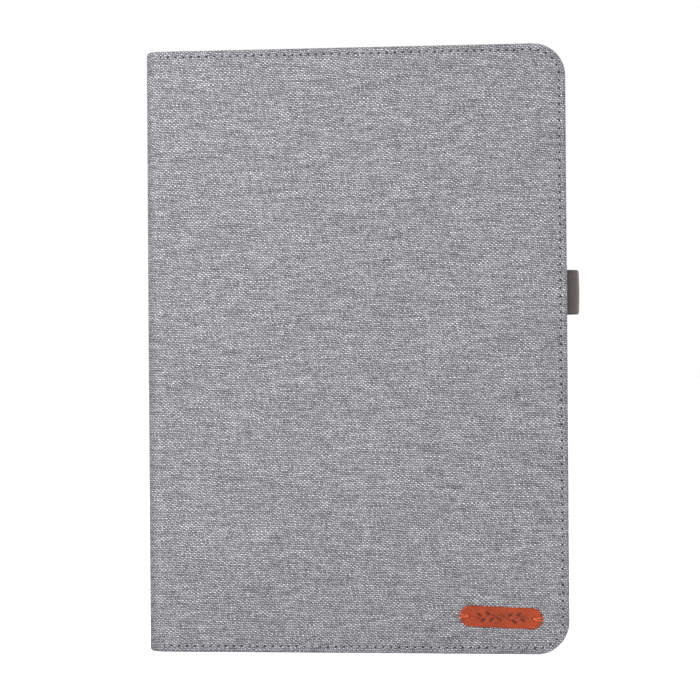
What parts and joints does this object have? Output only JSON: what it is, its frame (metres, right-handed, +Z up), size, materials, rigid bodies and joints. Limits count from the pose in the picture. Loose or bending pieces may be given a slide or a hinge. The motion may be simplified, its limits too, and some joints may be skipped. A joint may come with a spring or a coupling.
{
  "type": "tablet keyboard case",
  "caption": "Fabric folio case with a moulded tablet tray, a low keyboard in the front cover, a kickstand flap, an elastic pen loop and a small stitched leather tag.",
  "frame": {"origin": "middle of the whole box at the bottom edge, with the closed case standing on that edge", "axes": "+Z up along the spine, +X from the spine to the free edge, +Y from the front cover to the back"},
  "size_m": [0.1842, 0.022, 0.256],
  "materials": {
    "grey_fabric": "heathered plain weave",
    "grey_thread": "spun thread",
    "lining": "microfibre nap",
    "fibre_board": "pressed fibre board",
    "tray_plate_plastic": "moulded, fine texture",
    "tray_rubber": "moulded, satin",
    "nickel_plate": "nickel plated",
    "steel": "stamped",
    "elastic": "ribbed elastic",
    "leather": "debossed, semi-gloss",
    "orange_thread": "waxed thread",
    "shell_plastic": "fine spark texture",
    "key_plastic": "smooth satin",
    "film": "printed film",
    "dome_rubber": "moulded silicone",
    "circuit": "solder mask",
    "battery_foil": "foil pouch",
    "light_pipe": "clear",
    "adhesive": "tape"
  },
  "bodies": {
    "back": {"back_skin": "grey_fabric", "back_board": "fibre_board", "back_seam_thread": "grey_thread", "tray_plate": "tray_plate_plastic", "tray_plate_magnets": "nickel_plate", "tray": "tray_rubber", "keeper_strip": "steel", "pen_loop": "elastic"},
    "kickstand": {"kickstand_skin": "grey_fabric", "kickstand_board": "fibre_board", "kickstand_lining": "lining", "kickstand_magnets": "nickel_plate", "kickstand_seam_thread": "grey_thread", "kickstand_fold_strip": "grey_fabric"},
    "spine": {"spine_skin": "grey_fabric", "spine_board": "fibre_board", "spine_lining": "lining", "front_fold_strip": "grey_fabric", "back_fold_strip": "grey_fabric"},
    "front_cover": {"front_skin": "grey_fabric", "front_board": "fibre_board", "front_lining": "lining", "seam_thread": "grey_thread", "front_closure_magnets": "nickel_plate", "wake_magnet": "nickel_plate", "label": "leather", "label_thread": "orange_thread", "tablet_stop": "lining", "stop_magnets": "nickel_plate", "keyboard_adhesive": "adhesive", "keyboard_base": "shell_plastic", "keyboard_deck": "shell_plastic", "deck_screws": "steel", "key_backplate": "steel", "key_membrane": "film", "key_domes": "dome_rubber", "controller_board": "circuit", "membrane_tail": "film", "battery": "battery_foil", "usb_c_socket": "steel", "status_light_pipe": "light_pipe"},
    "function_keys": {"function_keys": "key_plastic"},
    "number_keys": {"number_keys": "key_plastic"},
    "backspace_key": {"backspace_key": "key_plastic"},
    "tab_key": {"tab_key": "key_plastic"},
    "upper_letter_keys": {"upper_letter_keys": "key_plastic"},
    "caps_key": {"caps_key": "key_plastic"},
    "home_letter_keys": {"home_letter_keys": "key_plastic"},
    "enter_key": {"enter_key": "key_plastic"},
    "left_shift_key": {"left_shift_key": "key_plastic"},
    "lower_letter_keys": {"lower_letter_keys": "key_plastic"},
    "right_shift_key": {"right_shift_key": "key_plastic"},
    "modifier_keys": {"modifier_keys": "key_plastic"},
    "space_bar": {"space_bar": "key_plastic"},
    "arrow_keys": {"arrow_keys": "key_plastic"},
    "pair_button": {"pair_button": "shell_plastic"},
    "power_switch": {"power_switch": "shell_plastic"}
  },
  "joints": [
    {"name": "back_fold", "type": "hinge", "parent": "back", "child": "spine", "pos_m": [-0.0906, 0.0095, 0.128], "axis": [0, 0, -1], "range_deg": [0, 90], "deforming": ["back_fold_strip"]},
    {"name": "cover_fold", "type": "hinge", "parent": "spine", "child": "front_cover", "pos_m": [-0.0906, -0.0085, 0.128], "axis": [0, 0, -1], "range_deg": [0, 90], "deforming": ["front_fold_strip"]},
    {"name": "kickstand_fold", "type": "hinge", "parent": "back", "child": "kickstand", "pos_m": [-0.0027, 0.0106, 0.128], "axis": [0, 0, 1], "range_deg": [0, 125], "deforming": ["kickstand_fold_strip"]},
    {"name": "pair_press", "type": "slide", "parent": "front_cover", "child": "pair_button", "axis": [0, -1, 0], "range_m": [0, 0.0006], "stiffness_N_per_m": 300, "springref_m": -0.0005},
    {"name": "power_slide", "type": "slide", "parent": "front_cover", "child": "power_switch", "axis": [1, 0, 0], "range_m": [0, 0.0025]},
    {"name": "press_function_keys", "type": "slide", "parent": "front_cover", "child": "function_keys", "axis": [0, -1, 0], "range_m": [0, 0.0012], "stiffness_N_per_m": 300, "springref_m": -0.001},
    {"name": "press_number_keys", "type": "slide", "parent": "front_cover", "child": "number_keys", "axis": [0, -1, 0], "range_m": [0, 0.0012], "stiffness_N_per_m": 300, "springref_m": -0.001},
    {"name": "press_backspace_key", "type": "slide", "parent": "front_cover", "child": "backspace_key", "axis": [0, -1, 0], "range_m": [0, 0.0012], "stiffness_N_per_m": 300, "springref_m": -0.001},
    {"name": "press_tab_key", "type": "slide", "parent": "front_cover", "child": "tab_key", "axis": [0, -1, 0], "range_m": [0, 0.0012], "stiffness_N_per_m": 300, "springref_m": -0.001},
    {"name": "press_upper_letter_keys", "type": "slide", "parent": "front_cover", "child": "upper_letter_keys", "axis": [0, -1, 0], "range_m": [0, 0.0012], "stiffness_N_per_m": 300, "springref_m": -0.001},
    {"name": "press_caps_key", "type": "slide", "parent": "front_cover", "child": "caps_key", "axis": [0, -1, 0], "range_m": [0, 0.0012], "stiffness_N_per_m": 300, "springref_m": -0.001},
    {"name": "press_home_letter_keys", "type": "slide", "parent": "front_cover", "child": "home_letter_keys", "axis": [0, -1, 0], "range_m": [0, 0.0012], "stiffness_N_per_m": 300, "springref_m": -0.001},
    {"name": "press_enter_key", "type": "slide", "parent": "front_cover", "child": "enter_key", "axis": [0, -1, 0], "range_m": [0, 0.0012], "stiffness_N_per_m": 300, "springref_m": -0.001},
    {"name": "press_left_shift_key", "type": "slide", "parent": "front_cover", "child": "left_shift_key", "axis": [0, -1, 0], "range_m": [0, 0.0012], "stiffness_N_per_m": 300, "springref_m": -0.001},
    {"name": "press_lower_letter_keys", "type": "slide", "parent": "front_cover", "child": "lower_letter_keys", "axis": [0, -1, 0], "range_m": [0, 0.0012], "stiffness_N_per_m": 300, "springref_m": -0.001},
    {"name": "press_right_shift_key", "type": "slide", "parent": "front_cover", "child": "right_shift_key", "axis": [0, -1, 0], "range_m": [0, 0.0012], "stiffness_N_per_m": 300, "springref_m": -0.001},
    {"name": "press_modifier_keys", "type": "slide", "parent": "front_cover", "child": "modifier_keys", "axis": [0, -1, 0], "range_m": [0, 0.0012], "stiffness_N_per_m": 300, "springref_m": -0.001},
    {"name": "press_space_bar", "type": "slide", "parent": "front_cover", "child": "space_bar", "axis": [0, -1, 0], "range_m": [0, 0.0012], "stiffness_N_per_m": 300, "springref_m": -0.001},
    {"name": "press_arrow_keys", "type": "slide", "parent": "front_cover", "child": "arrow_keys", "axis": [0, -1, 0], "range_m": [0, 0.0012], "stiffness_N_per_m": 300, "springref_m": -0.001, "deforming": ["key_domes"]}
  ]
}
